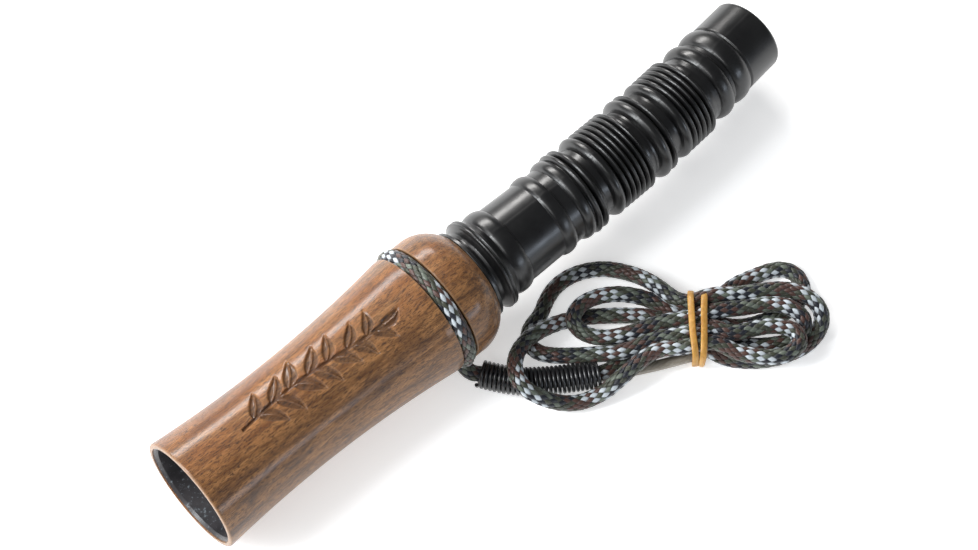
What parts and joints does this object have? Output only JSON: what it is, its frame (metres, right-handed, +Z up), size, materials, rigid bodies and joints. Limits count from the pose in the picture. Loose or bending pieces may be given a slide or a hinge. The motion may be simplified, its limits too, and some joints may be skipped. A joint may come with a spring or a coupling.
{
  "type": "deer grunt call",
  "caption": "Deer grunt call: waisted wooden barrel with a push-in reed insert, a bending ribbed rubber hose and a braided cord lanyard tied in a hank.",
  "frame": {"origin": "middle of the barrel's mouth end face, on the barrel's axis", "axes": "+X along the barrel from the mouth to the hose, +Z up when it lies on a table, +Y completes them"},
  "size_m": [0.2154, 0.0956, 0.04],
  "materials": {
    "stained_wood": "satin varnish",
    "black_liner": "satin",
    "black_plastic": "moulded",
    "black_rubber": "satin moulded",
    "reed_film": "clear film",
    "cork": "bare",
    "camo_cord": "braided",
    "black_wire": "black coated",
    "grey_rod": "smooth semi-gloss",
    "amber_rubber": "thin, slightly translucent"
  },
  "bodies": {
    "call_barrel": {"barrel": "stained_wood", "mouth_liner": "black_liner"},
    "insert": {"insert_housing": "black_plastic", "seal_ring_1": "black_rubber", "seal_ring_2": "black_rubber", "tone_board": "black_plastic", "reed_root": "reed_film", "reed_wedge": "cork"},
    "reed": {"reed_tongue": "reed_film"},
    "tuner": {"tuning_ring": "black_rubber"},
    "hose_base": {"hose_base": "black_rubber"},
    "neck_1": {"hose_neck_1": "black_rubber"},
    "pack_1": {"hose_pack_1": "black_rubber"},
    "neck_2": {"hose_neck_2": "black_rubber"},
    "middle": {"hose_middle": "black_rubber"},
    "neck_3": {"hose_neck_3": "black_rubber"},
    "pack_2": {"hose_pack_2": "black_rubber"},
    "neck_4": {"hose_neck_4": "black_rubber"},
    "cuff": {"hose_cuff": "black_rubber"},
    "lanyard": {"lanyard_loop": "camo_cord", "lanyard_tail": "camo_cord", "lanyard_spring": "black_wire", "lanyard_rod": "grey_rod", "cord_hank": "camo_cord", "hank_band": "amber_rubber"}
  },
  "joints": [
    {"name": "insert_pull", "type": "slide", "parent": "call_barrel", "child": "insert", "axis": [1, 0, 0], "range_m": [0, 0.045]},
    {"name": "hose_pull", "type": "slide", "parent": "insert", "child": "hose_base", "axis": [1, 0, 0], "range_m": [0, 0.02]},
    {"name": "tuning_slide", "type": "slide", "parent": "insert", "child": "tuner", "axis": [1, 0, 0], "range_m": [0, 0.006]},
    {"name": "reed_flex", "type": "hinge", "parent": "insert", "child": "reed", "pos_m": [0.0602, 0, 0.0003], "axis": [0, 1, 0], "range_deg": [0, 6], "stiffness_Nm_per_rad": 0.001},
    {"name": "bend_side_1", "type": "hinge", "parent": "hose_base", "child": "neck_1", "pos_m": [0.1433, 0, 0], "axis": [0, 0, 1], "range_deg": [-6, 6], "stiffness_Nm_per_rad": 0.8},
    {"name": "bend_up_1", "type": "hinge", "parent": "neck_1", "child": "pack_1", "pos_m": [0.1433, 0, 0], "axis": [-0.0262, 0.9997, 0], "range_deg": [-6, 6], "stiffness_Nm_per_rad": 0.8},
    {"name": "bend_side_2", "type": "hinge", "parent": "pack_1", "child": "neck_2", "pos_m": [0.16229, 0.0005, -0.0003], "axis": [0.0157, 0.0004, 0.9999], "range_deg": [-6, 6], "stiffness_Nm_per_rad": 0.8},
    {"name": "bend_up_2", "type": "hinge", "parent": "neck_2", "child": "middle", "pos_m": [0.16229, 0.0005, -0.0003], "axis": [-0.0558, 0.9984, 0], "range_deg": [-6, 6], "stiffness_Nm_per_rad": 0.8},
    {"name": "bend_side_3", "type": "hinge", "parent": "middle", "child": "neck_3", "pos_m": [0.17087, 0.00098, -0.00055], "axis": [0.0296, 0.0017, 0.9996], "range_deg": [-6, 6], "stiffness_Nm_per_rad": 0.8},
    {"name": "bend_up_3", "type": "hinge", "parent": "neck_3", "child": "pack_2", "pos_m": [0.17087, 0.00098, -0.00055], "axis": [-0.0906, 0.9959, 0], "range_deg": [-6, 6], "stiffness_Nm_per_rad": 0.8},
    {"name": "bend_side_4", "type": "hinge", "parent": "pack_2", "child": "neck_4", "pos_m": [0.18769, 0.00251, -0.00132], "axis": [0.0452, 0.0041, 0.999], "range_deg": [-6, 6], "stiffness_Nm_per_rad": 0.8},
    {"name": "bend_up_4", "type": "hinge", "parent": "neck_4", "child": "cuff", "pos_m": [0.18769, 0.00251, -0.00132], "axis": [-0.1305, 0.9914, 0], "range_deg": [-6, 6], "stiffness_Nm_per_rad": 0.8},
    {"name": "lanyard_turn", "type": "hinge", "parent": "call_barrel", "child": "lanyard", "pos_m": [0.0846, 0, 0], "axis": [1, 0, 0], "continuous": true}
  ]
}
